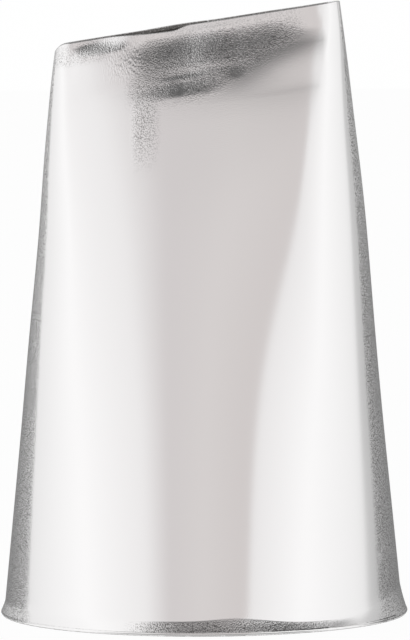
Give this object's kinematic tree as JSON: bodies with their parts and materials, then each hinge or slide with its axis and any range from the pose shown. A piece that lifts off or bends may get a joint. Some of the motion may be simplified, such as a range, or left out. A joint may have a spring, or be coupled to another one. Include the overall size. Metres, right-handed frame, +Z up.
{
  "type": "piping nozzle",
  "caption": "Large petal piping tube: a thin steel cone with a turned-out base rim, pressed flat to a long slot that is cut off at a slant, with a weld down its back.",
  "frame": {"origin": "centre of the base rim, on the plane that the rim stands on", "axes": "+Z up the tube to the tip, +X to the tall narrow end of the slot, +Y to the welded back"},
  "size_m": [0.0338, 0.0338, 0.0508],
  "materials": {
    "steel_sheet": "polished stainless sheet with a fine pebbled skin and light rubbing marks near the pressed tip",
    "weld_steel": "weld bead ground flush outside and left as a low crown inside"
  },
  "bodies": {
    "root": {"nozzle_shell": "steel_sheet", "seam_weld": "weld_steel"}
  },
  "joints": []
}
